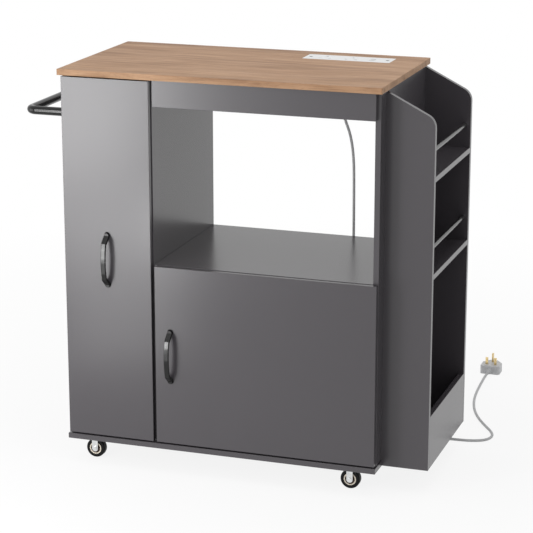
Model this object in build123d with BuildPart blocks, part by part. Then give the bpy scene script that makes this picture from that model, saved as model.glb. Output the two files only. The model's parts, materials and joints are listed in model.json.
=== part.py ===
"""Kitchen trolley on castors: pull-out larder, microwave bay, cupboard, side rack and inset power strip."""
import os
from math import radians, tan

from build123d import *

os.makedirs("parts", exist_ok=True)

# Driving dimensions, in millimetres: worktop and carcass
worktop_width = 726.0
worktop_depth = 402.0
worktop_thickness = 13.0
worktop_height = 900.0
worktop_corner = 2.0
side_overhang = 6.0
front_overhang = 5.0
back_overhang = 5.0
board_thickness = 12.0
board_ease = 0.5
front_thickness = 12.0
front_ease = 0.9
front_gap = 1.0
front_side_reveal = 1.0
front_reveal = 3.0
fronts_spacing = 7.5
base_projection = 2.0
back_panel_thickness = 3.0
back_panel_reveal = 1.0
pullout_front_width = 203.0
divider_past_front = 2.0
microwave_shelf_top = 478.0
door_below_shelf_top = 1.0
apron_height = 58.0
apron_lap_on_side = 4.0

# Castors
castor_height = 58.0
castor_inset_x = 57.0
castor_inset_y = 55.0
castor_trail = 12.0
wheel_diameter = 44.0
wheel_width = 17.0
tyre_thickness = 8.0
tyre_shoulder = 3.0
tyre_seat_gap = 0.05
hub_rim = 3.4
hub_recess = 3.5
hub_boss_diameter = 13.0
hub_side_gap = 0.5
fork_gap = 20.0
fork_gauge = 2.0
fork_leg_width = 14.0
fork_roof_reach = 11.0
axle_diameter = 6.0
axle_head_diameter = 9.5
axle_head_height = 1.6
running_clearance = 0.05
castor_plate_size = 38.0
castor_plate_thickness = 2.5
castor_plate_corner = 4.0
raceway_diameter = 30.0
raceway_height = 5.2
swivel_gap = 0.3
kingpin_diameter = 8.0
kingpin_head_diameter = 13.0
kingpin_head_height = 3.0
castor_screw_inset = 5.5
castor_screw_diameter = 4.0
castor_screw_length = 9.0
screw_head_diameter = 7.0
screw_head_height = 2.0
screw_hole_gap = 0.1

# Side rack on the right
rack_width = 104.5
rack_front_setback = 56.0
rack_slope_drop = 53.0
rack_top_below_carcass = 5.0
rack_corner_radius = 30.0
rack_upper_shelf_below_top = 182.0
rack_shelf_spacing = 211.0
rack_rail_diameter = 10.0
rack_rail_above_shelf = 57.0
rack_rail_inset = 13.0
rack_rail_socket_depth = 7.0
rack_rail_socket_gap = 0.1
rack_fascia_height = 119.0

# Towel rail on the left
towel_rail_diameter = 19.0
towel_rail_reach = 99.5
towel_rail_below_worktop = 100.0
towel_rail_front_inset = 16.0
towel_rail_back_inset = 43.0
towel_rail_bend = 18.0
flange_diameter = 28.0
flange_thickness = 5.0
flange_bore_gap = 0.1

# Bow handles
handle_length = 126.0
handle_reach = 28.0
handle_knee_reach = 22.5
handle_knee_inset = 22.0
handle_band = 5.0
handle_foot = 14.0
handle_foot_top = 10.0
handle_foot_height = 6.0
handle_width = 11.0
handle_ease = 1.5
handle_screw_diameter = 4.0
handle_screw_bite = 4.0
pullout_handle_height = 483.0
door_handle_from_edge = 35.5

# Concealed hinges of the lower door
hinge_from_door_end = 70.0
hinge_cup_diameter = 26.0
hinge_cup_depth = 9.5
hinge_cup_wall = 1.2
hinge_cup_from_side = 6.0
hinge_flange_diameter = 32.0
hinge_flange_thickness = 1.2
hinge_fit_gap = 0.1
hinge_plate_length = 45.0
hinge_plate_height = 32.0
hinge_plate_thickness = 8.0
hinge_plate_setback = 15.0
hinge_arm_width = 12.0
hinge_arm_thickness = 8.0
hinge_nose_length = 21.0
hinge_nose_depth = 7.0
hinge_nose_gap = 0.3

# Pull-out larder and its runners
runner_width = 12.5
runner_height = 35.0
runner_gauge = 1.2
runner_flange = 9.2
runner_play = 0.4
runner_setback = 3.0
runner_back_clearance = 24.0
runner_above_shelf = 4.0
pullout_back_clearance = 8.0
pullout_board = 10.0
pullout_side_height = 46.0
pullout_first_shelf = 100.0
pullout_shelf_below_handle = 3.0
pullout_back_below_front = 34.0

# Fixing angles under the worktop
angle_leg = 30.0
angle_width = 20.0
angle_gauge = 2.0
angle_from_front = 62.0
angle_from_back = 70.0
apron_angle_inset = 90.0

# Power strip in the worktop
strip_length = 200.0
strip_depth = 60.0
strip_plate = 2.5
strip_corner = 3.0
strip_from_right = 68.0
strip_from_back = 39.5
strip_lip = 6.0
strip_fit_gap = 0.3
strip_housing_depth = 52.0
strip_housing_wall = 2.0
socket_from_left = 47.0
socket_pitch = 60.0
socket_pin_spacing = 22.2
socket_slot_gap = 0.5
shutter_size = 40.0
shutter_thickness = 3.0
usb_from_left = 154.0
usb_slot_length = 13.0
usb_slot_width = 5.2
usb_slot_pitch = 14.0
usb_block_length = 22.0
usb_block_width = 34.0
usb_block_depth = 12.0
strip_screw_inset = 12.0
strip_screw_head = 9.0
strip_screw_head_height = 2.2
strip_screw_diameter = 3.0
strip_screw_length = 11.0

# Mains cord, its strain relief and its three-pin plug
cord_diameter = 6.4
cord_bend_share = 0.45
cord_least_bends = 5.0
relief_top_diameter = 14.0
relief_end_diameter = 8.6
relief_length = 30.0
relief_from_strip_left = 78.0
relief_from_strip_back = 17.0
plug_width = 50.0
plug_length = 54.0
plug_shoulder = 20.0
plug_nose_width = 20.0
plug_heel = 4.0
plug_thickness = 22.0
plug_ease = 2.5
plug_above_floor = 0.2
sleeve_length = 27.0
sleeve_start_diameter = 8.6
sleeve_end_diameter = 13.0
sleeve_groove = 1.2
sleeve_groove_count = 4
pin_length = 17.7
live_pin_width = 6.35
live_pin_thickness = 4.0
earth_pin_width = 4.0
earth_pin_thickness = 8.0
earth_pin_extra = 5.0
live_pin_from_heel = 16.0

# Faces that the pieces share: x to the right, y to the back, z up, origin at the middle of the footprint
body_width = worktop_width - 2 * side_overhang
overall_width = towel_rail_reach + body_width + rack_width
left_face = towel_rail_reach - overall_width / 2
right_face = left_face + body_width
rack_outer = right_face + rack_width
worktop_left = left_face - side_overhang
worktop_right = right_face + side_overhang
overall_depth = handle_reach - front_overhang + worktop_depth
front_face = handle_reach - overall_depth / 2
front_back_face = front_face + front_thickness
worktop_front = front_face - front_overhang
worktop_back = worktop_front + worktop_depth
carcass_front = front_back_face + front_gap
carcass_back = worktop_back - back_overhang
base_bottom = castor_height
base_top = base_bottom + board_thickness
base_front = front_face - base_projection
carcass_top = worktop_height - worktop_thickness
left_inner = left_face + board_thickness
right_inner = right_face - board_thickness
pullout_front_left = left_face + front_side_reveal
pullout_front_right = pullout_front_left + pullout_front_width
door_left = pullout_front_right + fronts_spacing
door_right = right_face - front_side_reveal
divider_right = pullout_front_right + divider_past_front
divider_left = divider_right - board_thickness
front_bottom = base_top + front_reveal
pullout_front_top = carcass_top - front_reveal
door_top = microwave_shelf_top - door_below_shelf_top
shelf_bottom = microwave_shelf_top - board_thickness
apron_bottom = carcass_top - apron_height


def save(piece, label):
    """Name a finished piece and write it to its own file."""
    piece.part.label = label
    export_step(piece.part, f"parts/{label}.step")


def block(x_span, y_span, z_span, mode=Mode.ADD):
    """Add or cut a rectangular block that runs between two faces in each direction."""
    spans = (x_span, y_span, z_span)
    with Locations(tuple((low + high) / 2 for low, high in spans)):
        Box(*(high - low for low, high in spans), mode=mode)


def board(label, x_span, y_span, z_span, ease=board_ease):
    """One flat board with eased edges."""
    with BuildPart() as piece:
        block(x_span, y_span, z_span)
        chamfer(piece.edges(), ease)
    save(piece, label)


def rod_along_y(points, diameter, length, mode=Mode.ADD):
    """Round bars or holes along y, each centred on one of the points."""
    with Locations(*points):
        Cylinder(diameter / 2, length, rotation=(90, 0, 0), mode=mode)


def rod_along_x(points, diameter, length, mode=Mode.ADD):
    """Round bars or holes along x, each centred on one of the points."""
    with Locations(*points):
        Cylinder(diameter / 2, length, rotation=(0, 90, 0), mode=mode)


# Worktop: wood-look board with a rebated cut-out for the power strip
strip_right = worktop_right - strip_from_right
strip_left = strip_right - strip_length
strip_back = worktop_back - strip_from_back
strip_front = strip_back - strip_depth
strip_middle_y = (strip_front + strip_back) / 2
strip_plate_bottom = worktop_height - strip_plate
housing_left = strip_left + strip_lip
housing_right = strip_right - strip_lip
housing_front = strip_front + strip_lip
housing_back = strip_back - strip_lip
housing_bottom = strip_plate_bottom - strip_housing_depth
strip_screw_places = [
    (strip_left + strip_screw_inset, strip_middle_y),
    (strip_right - strip_screw_inset, strip_middle_y),
]
with BuildPart() as worktop:
    block((worktop_left, worktop_right), (worktop_front, worktop_back), (carcass_top, worktop_height))
    fillet(worktop.edges().filter_by(Axis.Z), worktop_corner)
    chamfer(worktop.faces().sort_by(Axis.Z)[-1].edges(), board_ease)
    block(
        (strip_left - strip_fit_gap, strip_right + strip_fit_gap),
        (strip_front - strip_fit_gap, strip_back + strip_fit_gap),
        (strip_plate_bottom, worktop_height),
        mode=Mode.SUBTRACT,
    )
    block(
        (housing_left - strip_fit_gap, housing_right + strip_fit_gap),
        (housing_front - strip_fit_gap, housing_back + strip_fit_gap),
        (carcass_top, worktop_height),
        mode=Mode.SUBTRACT,
    )
save(worktop, "worktop")

# Carcass: base, two sides, divider, shelf, back rail and thin backs
castor_xs = (left_face - base_projection + castor_inset_x, right_face + base_projection - castor_inset_x)
castor_ys = (base_front + castor_inset_y, carcass_back - castor_inset_y)
castor_places = {
    "front_left": (castor_xs[0], castor_ys[0]),
    "front_right": (castor_xs[1], castor_ys[0]),
    "rear_left": (castor_xs[0], castor_ys[1]),
    "rear_right": (castor_xs[1], castor_ys[1]),
}
castor_screw_reach = castor_plate_size / 2 - castor_screw_inset
castor_screw_places = [
    (x + side_x * castor_screw_reach, y + side_y * castor_screw_reach)
    for x, y in castor_places.values()
    for side_x in (-1, 1)
    for side_y in (-1, 1)
]
castor_plate_bottom = base_bottom - castor_plate_thickness
castor_screw_top = castor_plate_bottom + castor_screw_length
with BuildPart() as base_board:
    block(
        (left_face - base_projection, right_face + base_projection),
        (base_front, carcass_back),
        (base_bottom, base_top),
    )
    chamfer(base_board.edges(), board_ease)
    with Locations(*((x, y, castor_screw_top / 2 + base_bottom / 2) for x, y in castor_screw_places)):
        Cylinder(
            castor_screw_diameter / 2 + screw_hole_gap,
            castor_screw_top - base_bottom,
            mode=Mode.SUBTRACT,
        )
save(base_board, "base_board")

upright_y = (carcass_front, carcass_back)
upright_z = (base_top, carcass_top)
board("left_side_panel", (left_face, left_inner), upright_y, upright_z)
board("divider_panel", (divider_left, divider_right), upright_y, upright_z)
board("right_side_panel", (right_inner, right_face), upright_y, upright_z)
board("microwave_shelf", (divider_right, right_inner), upright_y, (shelf_bottom, microwave_shelf_top))
board(
    "rear_rail",
    (divider_right, right_inner),
    (carcass_back - board_thickness, carcass_back),
    (apron_bottom, carcass_top),
)
board(
    "front_apron",
    (door_left, right_inner + apron_lap_on_side),
    (carcass_front - front_thickness, carcass_front),
    (apron_bottom, carcass_top),
)
divider_middle = (divider_left + divider_right) / 2
back_y = (carcass_back, carcass_back + back_panel_thickness)
board(
    "tall_back_panel",
    (left_face + back_panel_reveal, divider_middle - back_panel_reveal),
    back_y,
    (base_bottom + back_panel_reveal, carcass_top - back_panel_reveal),
)
board(
    "lower_back_panel",
    (divider_middle + back_panel_reveal, right_face - back_panel_reveal),
    back_y,
    (base_bottom + back_panel_reveal, microwave_shelf_top - back_panel_reveal),
)

# Fixing angles: pressed steel corners between the uprights, the apron and the worktop
angle_ys = (carcass_front + angle_from_front, carcass_back - angle_from_back)
apron_angle_xs = (divider_right + apron_angle_inset, right_inner - apron_angle_inset)
with BuildPart() as fixing_angles:
    for face_x, inward in ((left_inner, 1), (divider_right, 1), (right_inner, -1)):
        for y in angle_ys:
            y_span = (y - angle_width / 2, y + angle_width / 2)
            leg_x = sorted((face_x, face_x + inward * angle_gauge))
            flat_x = sorted((face_x, face_x + inward * angle_leg))
            block(leg_x, y_span, (carcass_top - angle_leg, carcass_top))
            block(flat_x, y_span, (carcass_top - angle_gauge, carcass_top))
    for x in apron_angle_xs:
        x_span = (x - angle_width / 2, x + angle_width / 2)
        block(x_span, (carcass_front, carcass_front + angle_gauge), (carcass_top - angle_leg, carcass_top))
        block(x_span, (carcass_front, carcass_front + angle_leg), (carcass_top - angle_gauge, carcass_top))
save(fixing_angles, "fixing_angles")

# Side rack: two shaped end panels, shelves, a fascia and round guard rails
rack_front = carcass_front - front_gap - front_thickness + rack_front_setback
rack_front_inner = rack_front + board_thickness
rack_back_inner = carcass_back - board_thickness
rack_top = carcass_top - rack_top_below_carcass
rack_shelf_y = (rack_front_inner, rack_back_inner)
rack_foot_x = right_face + base_projection
rack_rail_x = rack_outer - rack_rail_inset
rack_upper_shelf_middle = rack_top - rack_upper_shelf_below_top
rack_shelf_middles = (rack_upper_shelf_middle, rack_upper_shelf_middle - rack_shelf_spacing)
rack_rail_zs = [middle + rack_rail_above_shelf for middle in rack_shelf_middles]


def rack_panel(label, back_face, socket_y):
    """An end panel whose top slopes down to a rounded outer corner, drilled for the guard rails."""
    with BuildPart() as piece:
        with BuildSketch(Plane.XZ.offset(-back_face)) as outline:
            with BuildLine():
                Polyline(
                    (rack_foot_x, base_bottom),
                    (rack_outer, base_bottom),
                    (rack_outer, rack_top - rack_slope_drop),
                    (right_face, rack_top),
                    (right_face, base_top),
                    (rack_foot_x, base_top),
                    close=True,
                )
            make_face()
            shoulder = outline.vertices().group_by(Axis.X)[-1].sort_by(Axis.Y)[-1]
            fillet(shoulder, rack_corner_radius)
        extrude(amount=board_thickness)
        rod_along_y(
            [(rack_rail_x, socket_y, z) for z in rack_rail_zs],
            rack_rail_diameter + 2 * rack_rail_socket_gap,
            rack_rail_socket_depth,
            mode=Mode.SUBTRACT,
        )
    save(piece, label)


rack_panel("rack_front_panel", rack_front_inner, rack_front_inner - rack_rail_socket_depth / 2)
rack_panel("rack_back_panel", carcass_back, rack_back_inner + rack_rail_socket_depth / 2)
for shelf_name, middle in zip(("rack_upper_shelf", "rack_lower_shelf"), rack_shelf_middles):
    board(
        shelf_name,
        (right_face, rack_outer),
        rack_shelf_y,
        (middle - board_thickness / 2, middle + board_thickness / 2),
    )
fascia_inner = rack_outer - board_thickness
board("rack_bottom_shelf", (rack_foot_x, fascia_inner), rack_shelf_y, (base_bottom, base_top))
fascia_z = (base_bottom, base_bottom + rack_fascia_height)
board("rack_fascia", (fascia_inner, rack_outer), rack_shelf_y, fascia_z)
with BuildPart() as rack_guard_rails:
    rod_along_y(
        [(rack_rail_x, (rack_front_inner + rack_back_inner) / 2, z) for z in rack_rail_zs],
        rack_rail_diameter,
        rack_back_inner - rack_front_inner + 2 * rack_rail_socket_depth,
    )
save(rack_guard_rails, "rack_guard_rails")

# Towel rail: one bent bar with a turned flange at each end
towel_x = left_face - towel_rail_reach + towel_rail_diameter / 2
towel_ys = (carcass_front + towel_rail_front_inset, carcass_back - towel_rail_back_inset)
towel_z = worktop_height - towel_rail_below_worktop
with BuildPart() as towel_rail:
    with BuildLine() as towel_path:
        FilletPolyline(
            (left_face, towel_ys[0], towel_z),
            (towel_x, towel_ys[0], towel_z),
            (towel_x, towel_ys[1], towel_z),
            (left_face, towel_ys[1], towel_z),
            radius=towel_rail_bend,
        )
    with BuildSketch(Plane(towel_path.line @ 0, z_dir=towel_path.line % 0)):
        Circle(towel_rail_diameter / 2)
    sweep()
save(towel_rail, "towel_rail")
flange_centre = left_face - flange_thickness / 2
flange_places = [(flange_centre, y, towel_z) for y in towel_ys]
with BuildPart() as towel_rail_flanges:
    rod_along_x(flange_places, flange_diameter, flange_thickness)
    fillet(towel_rail_flanges.edges().group_by(Axis.X)[0], flange_thickness / 3)
    rod_along_x(
        flange_places,
        towel_rail_diameter + 2 * flange_bore_gap,
        flange_thickness,
        mode=Mode.SUBTRACT,
    )
save(towel_rail_flanges, "towel_rail_flanges")

# Bow handles and their screws
handle_screw_reach = handle_length / 2 - handle_foot / 2
handle_screw_hole = handle_screw_diameter + 2 * screw_hole_gap
handle_screw_end = front_face - handle_screw_bite


def handle_screw_points(x, z, y):
    """The two fixing points of a handle that is centred on x and z."""
    return [(x, y, z - handle_screw_reach), (x, y, z + handle_screw_reach)]


def handle(label, x, z):
    """A gently bowed band on two sloping legs, each rising from a round foot with a blind screw hole."""
    toe = handle_length / 2 - (handle_foot - handle_foot_top) / 2
    heel = toe - handle_foot_top
    knee = handle_length / 2 - handle_knee_inset
    outer_knee_y = front_face - handle_knee_reach
    inner_knee_y = outer_knee_y + handle_band
    inner_knee = knee - handle_band / 2
    with BuildPart() as piece:
        with BuildSketch(Plane.YZ.offset(x)):
            with BuildLine():
                Line((front_face, z - toe), (outer_knee_y, z - knee))
                ThreePointArc(
                    (outer_knee_y, z - knee),
                    (front_face - handle_reach, z),
                    (outer_knee_y, z + knee),
                )
                Line((outer_knee_y, z + knee), (front_face, z + toe))
                Line((front_face, z + toe), (front_face, z + heel))
                Line((front_face, z + heel), (inner_knee_y, z + inner_knee))
                ThreePointArc(
                    (inner_knee_y, z + inner_knee),
                    (front_face - handle_reach + handle_band, z),
                    (inner_knee_y, z - inner_knee),
                )
                Line((inner_knee_y, z - inner_knee), (front_face, z - heel))
                Line((front_face, z - heel), (front_face, z - toe))
            make_face()
        extrude(amount=handle_width / 2, both=True)
        fillet(piece.edges().filter_by(GeomType.CIRCLE), handle_ease)
        with Locations(*handle_screw_points(x, z, front_face - handle_foot_height / 2)):
            Cone(handle_foot / 2, handle_foot_top / 2, handle_foot_height, rotation=(90, 0, 0))
        rod_along_y(
            handle_screw_points(x, z, front_face - handle_screw_bite / 2),
            handle_screw_hole,
            handle_screw_bite,
            mode=Mode.SUBTRACT,
        )
    save(piece, label)


def handle_screws(label, x, z):
    """Two pan-head screws that pass through the front into a handle's feet."""
    length = front_back_face - handle_screw_end
    with BuildPart() as piece:
        rod_along_y(
            handle_screw_points(x, z, (front_back_face + handle_screw_end) / 2), handle_screw_diameter, length
        )
        rod_along_y(
            handle_screw_points(x, z, front_back_face + screw_head_height / 2),
            screw_head_diameter,
            screw_head_height,
        )
    save(piece, label)


def drill_for_handle(x, z):
    """Cut a handle's two screw holes through the front that is being built."""
    rod_along_y(
        handle_screw_points(x, z, (front_face + front_back_face) / 2),
        handle_screw_hole,
        front_thickness,
        mode=Mode.SUBTRACT,
    )


# Lower door with two concealed hinges on its right-hand side
door_handle_x = door_left + door_handle_from_edge
door_handle_z = (front_bottom + door_top) / 2
hinge_zs = (front_bottom + hinge_from_door_end, door_top - hinge_from_door_end)
hinge_cup_x = right_inner - hinge_cup_from_side - hinge_cup_diameter / 2
hinge_bore_depth = hinge_cup_depth + hinge_fit_gap
with BuildPart() as lower_door:
    block((door_left, door_right), (front_face, front_back_face), (front_bottom, door_top))
    fillet(lower_door.edges(), front_ease)
    rod_along_y(
        [(hinge_cup_x, front_back_face - hinge_bore_depth / 2, z) for z in hinge_zs],
        hinge_cup_diameter + 2 * hinge_fit_gap,
        hinge_bore_depth,
        mode=Mode.SUBTRACT,
    )
    drill_for_handle(door_handle_x, door_handle_z)
save(lower_door, "lower_door")
handle("lower_door_handle", door_handle_x, door_handle_z)
handle_screws("lower_door_handle_screws", door_handle_x, door_handle_z)
with BuildPart() as hinge_cups:
    rod_along_y(
        [(hinge_cup_x, front_back_face - hinge_cup_depth / 2, z) for z in hinge_zs],
        hinge_cup_diameter,
        hinge_cup_depth,
    )
    rod_along_y(
        [(hinge_cup_x, front_back_face + hinge_flange_thickness / 2, z) for z in hinge_zs],
        hinge_flange_diameter,
        hinge_flange_thickness,
    )
    cup_hollow = hinge_cup_depth + hinge_flange_thickness - hinge_cup_wall
    rod_along_y(
        [(hinge_cup_x, front_back_face + hinge_flange_thickness - cup_hollow / 2, z) for z in hinge_zs],
        hinge_cup_diameter - 2 * hinge_cup_wall,
        cup_hollow,
        mode=Mode.SUBTRACT,
    )
save(hinge_cups, "hinge_cups")
hinge_plate_x = right_inner - hinge_plate_thickness
hinge_plate_front = carcass_front + hinge_plate_setback
hinge_plate_back = hinge_plate_front + hinge_plate_length
hinge_nose_front = front_back_face + hinge_flange_thickness + hinge_nose_gap
with BuildPart() as hinge_plates_and_arms:
    for z in hinge_zs:
        plate_z = (z - hinge_plate_height / 2, z + hinge_plate_height / 2)
        arm_z = (z - hinge_arm_width / 2, z + hinge_arm_width / 2)
        block((hinge_plate_x, right_inner), (hinge_plate_front, hinge_plate_back), plate_z)
        block(
            (hinge_plate_x - hinge_arm_thickness, hinge_plate_x),
            (hinge_nose_front, hinge_plate_back),
            arm_z,
        )
        block(
            (hinge_plate_x - hinge_nose_length, hinge_plate_x),
            (hinge_nose_front, hinge_nose_front + hinge_nose_depth),
            arm_z,
        )
save(hinge_plates_and_arms, "hinge_plates_and_arms")

# Pull-out larder: tall front, back board, shelves with low sides
pullout_left = left_inner + runner_width
pullout_right = divider_left - runner_width
pullout_handle_x = (pullout_front_left + pullout_front_right) / 2
pullout_back = carcass_back - pullout_back_clearance
pullout_shelf_back = pullout_back - pullout_board
pullout_shelf_y = (front_back_face, pullout_shelf_back)
pullout_middle_shelf = pullout_handle_height - pullout_shelf_below_handle
pullout_shelf_pitch = (pullout_middle_shelf - pullout_first_shelf) / 2
pullout_shelf_zs = [pullout_first_shelf + level * pullout_shelf_pitch for level in range(4)]
with BuildPart() as pullout_front:
    block(
        (pullout_front_left, pullout_front_right),
        (front_face, front_back_face),
        (front_bottom, pullout_front_top),
    )
    fillet(pullout_front.edges(), front_ease)
    drill_for_handle(pullout_handle_x, pullout_handle_height)
save(pullout_front, "pullout_front")
handle("pullout_handle", pullout_handle_x, pullout_handle_height)
handle_screws("pullout_handle_screws", pullout_handle_x, pullout_handle_height)
board(
    "pullout_back_board",
    (pullout_left, pullout_right),
    (pullout_shelf_back, pullout_back),
    (pullout_first_shelf, pullout_front_top - pullout_back_below_front),
)
shelf_names = ["pullout_bottom_shelf", "pullout_lower_shelf", "pullout_middle_shelf", "pullout_upper_shelf"]
for shelf_name, shelf_z in zip(shelf_names, pullout_shelf_zs):
    board(shelf_name, (pullout_left, pullout_right), pullout_shelf_y, (shelf_z, shelf_z + pullout_board))
with BuildPart() as pullout_sides:
    for shelf_z in pullout_shelf_zs:
        side_z = (shelf_z + pullout_board, shelf_z + pullout_board + pullout_side_height)
        block((pullout_left, pullout_left + pullout_board), pullout_shelf_y, side_z)
        block((pullout_right - pullout_board, pullout_right), pullout_shelf_y, side_z)
save(pullout_sides, "pullout_sides")

# Runners: a channel on the carcass and a nested channel on the pull-out, low down and at mid height
runner_shelf_zs = (pullout_shelf_zs[0], pullout_shelf_zs[-2])
runner_y = (carcass_front + runner_setback, carcass_back - runner_back_clearance)
inner_half_height = runner_height / 2 - runner_gauge - runner_play


def runner_channel(wall, inward, middle_z, half_height):
    """A channel whose web lies on the wall and whose two flanges point inward."""
    web_x = sorted((wall, wall + inward * runner_gauge))
    flange_x = sorted((wall, wall + inward * runner_flange))
    block(web_x, runner_y, (middle_z - half_height, middle_z + half_height))
    block(flange_x, runner_y, (middle_z + half_height - runner_gauge, middle_z + half_height))
    block(flange_x, runner_y, (middle_z - half_height, middle_z - half_height + runner_gauge))


runner_zs = [z + pullout_board + runner_above_shelf + runner_height / 2 for z in runner_shelf_zs]
with BuildPart() as runner_outer_channels:
    for runner_z in runner_zs:
        runner_channel(left_inner, 1, runner_z, runner_height / 2)
        runner_channel(divider_left, -1, runner_z, runner_height / 2)
save(runner_outer_channels, "runner_outer_channels")
with BuildPart() as runner_inner_channels:
    for runner_z in runner_zs:
        runner_channel(pullout_left, -1, runner_z, inner_half_height)
        runner_channel(pullout_right, 1, runner_z, inner_half_height)
save(runner_inner_channels, "runner_inner_channels")

# Castor plates with raceway and kingpin, and the screws that hold them
raceway_bottom = castor_plate_bottom - raceway_height
fork_top = raceway_bottom - swivel_gap
fork_roof = fork_top - fork_gauge
kingpin_head_top = fork_roof - swivel_gap
kingpin_bottom = kingpin_head_top - kingpin_head_height
with BuildPart() as castor_plates:
    for x, y in castor_places.values():
        with BuildSketch(Plane((x, y, castor_plate_bottom))):
            RectangleRounded(castor_plate_size, castor_plate_size, castor_plate_corner)
        extrude(amount=castor_plate_thickness)
        with BuildSketch(Plane((x, y, raceway_bottom))):
            Circle(raceway_diameter / 2)
        extrude(amount=raceway_height)
        with BuildSketch(Plane((x, y, kingpin_bottom))):
            Circle(kingpin_diameter / 2)
        extrude(amount=raceway_bottom - kingpin_bottom)
        with BuildSketch(Plane((x, y, kingpin_bottom))):
            Circle(kingpin_head_diameter / 2)
        extrude(amount=kingpin_head_height)
    plate_middle = castor_plate_bottom + castor_plate_thickness / 2
    with Locations(*((x, y, plate_middle) for x, y in castor_screw_places)):
        Cylinder(castor_screw_diameter / 2 + screw_hole_gap, castor_plate_thickness, mode=Mode.SUBTRACT)
save(castor_plates, "castor_plates")
with BuildPart() as castor_screws:
    with Locations(*((x, y, (castor_plate_bottom + castor_screw_top) / 2) for x, y in castor_screw_places)):
        Cylinder(castor_screw_diameter / 2, castor_screw_length)
    with Locations(*((x, y, castor_plate_bottom - screw_head_height / 2) for x, y in castor_screw_places)):
        Cylinder(screw_head_diameter / 2, screw_head_height)
save(castor_screws, "castor_screws")

# Castors: pressed fork with its axle rivet, hub and tyre
axle_z = wheel_diameter / 2
fork_width = fork_gap + 2 * fork_gauge
hub_radius = wheel_diameter / 2 - tyre_thickness - tyre_seat_gap


def castor(place, x, y):
    """One swivelling fork, set so that its wheel trails to the left, and the wheel that turns in it."""
    wheel_centre = (x - castor_trail, y, axle_z)
    axle_half = fork_width / 2 + axle_head_height
    leg_x = (x - castor_trail - fork_leg_width / 2, x - castor_trail + fork_leg_width / 2)
    fork_y = (y - fork_width / 2, y + fork_width / 2)
    with BuildPart() as fork:
        rod_along_y([wheel_centre], fork_leg_width, fork_width)
        block(leg_x, fork_y, (axle_z, fork_top))
        block((leg_x[0], x + fork_roof_reach), fork_y, (fork_roof, fork_top))
        block(
            leg_x,
            (y - fork_gap / 2, y + fork_gap / 2),
            (axle_z - fork_leg_width / 2, fork_roof),
            mode=Mode.SUBTRACT,
        )
        with Locations((x, y, fork_top - fork_gauge / 2)):
            Cylinder(kingpin_diameter / 2 + running_clearance, fork_gauge, mode=Mode.SUBTRACT)
        rod_along_y([wheel_centre], axle_diameter + 2 * running_clearance, fork_width, mode=Mode.SUBTRACT)
        rod_along_y([wheel_centre], axle_diameter, fork_width)
        rod_along_y(
            [
                (wheel_centre[0], y - axle_half + axle_head_height / 2, axle_z),
                (wheel_centre[0], y + axle_half - axle_head_height / 2, axle_z),
            ],
            axle_head_diameter,
            axle_head_height,
        )
    save(fork, f"castor_fork_{place}")
    with BuildPart() as hub:
        rod_along_y([wheel_centre], 2 * hub_radius, wheel_width)
        recess_y = wheel_width / 2 - hub_recess / 2
        for side in (-1, 1):
            face_point = (wheel_centre[0], y + side * recess_y, axle_z)
            rod_along_y([face_point], 2 * (hub_radius - hub_rim), hub_recess, mode=Mode.SUBTRACT)
        rod_along_y([wheel_centre], hub_boss_diameter, fork_gap - 2 * hub_side_gap)
        rod_along_y([wheel_centre], axle_diameter + 2 * running_clearance, fork_gap, mode=Mode.SUBTRACT)
    save(hub, f"castor_hub_{place}")
    with BuildPart() as tyre:
        rod_along_y([wheel_centre], wheel_diameter, wheel_width)
        fillet(tyre.edges().filter_by(GeomType.CIRCLE), tyre_shoulder)
        rod_along_y([wheel_centre], wheel_diameter - 2 * tyre_thickness, wheel_width, mode=Mode.SUBTRACT)
    save(tyre, f"castor_tyre_{place}")


for castor_place, (castor_x, castor_y) in castor_places.items():
    castor(castor_place, castor_x, castor_y)

# Power strip: face plate with two sockets and two charging ports, over a closed housing
socket_xs = [strip_left + socket_from_left + index * socket_pitch for index in range(2)]
socket_slot_sizes = {
    "live": (live_pin_width + socket_slot_gap, live_pin_thickness + socket_slot_gap),
    "earth": (earth_pin_width + socket_slot_gap, earth_pin_thickness + socket_slot_gap),
}
usb_x = strip_left + usb_from_left
usb_ys = (strip_middle_y - usb_slot_pitch / 2, strip_middle_y + usb_slot_pitch / 2)
with BuildPart() as power_strip_faceplate:
    with BuildSketch(Plane.XY.offset(strip_plate_bottom)):
        with Locations(((strip_left + strip_right) / 2, strip_middle_y)):
            RectangleRounded(strip_length, strip_depth, strip_corner)
        for socket_x in socket_xs:
            near = strip_middle_y - socket_pin_spacing / 2
            far = strip_middle_y + socket_pin_spacing / 2
            with Locations(*((socket_x + side * socket_pin_spacing / 2, near) for side in (-1, 1))):
                Rectangle(*socket_slot_sizes["live"], mode=Mode.SUBTRACT)
            with Locations((socket_x, far)):
                Rectangle(*socket_slot_sizes["earth"], mode=Mode.SUBTRACT)
        with Locations(*((usb_x, y) for y in usb_ys)):
            Rectangle(usb_slot_length, usb_slot_width, mode=Mode.SUBTRACT)
        with Locations(*strip_screw_places):
            Circle(strip_screw_head / 2 + screw_hole_gap, mode=Mode.SUBTRACT)
    extrude(amount=strip_plate)
save(power_strip_faceplate, "power_strip_faceplate")
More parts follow.
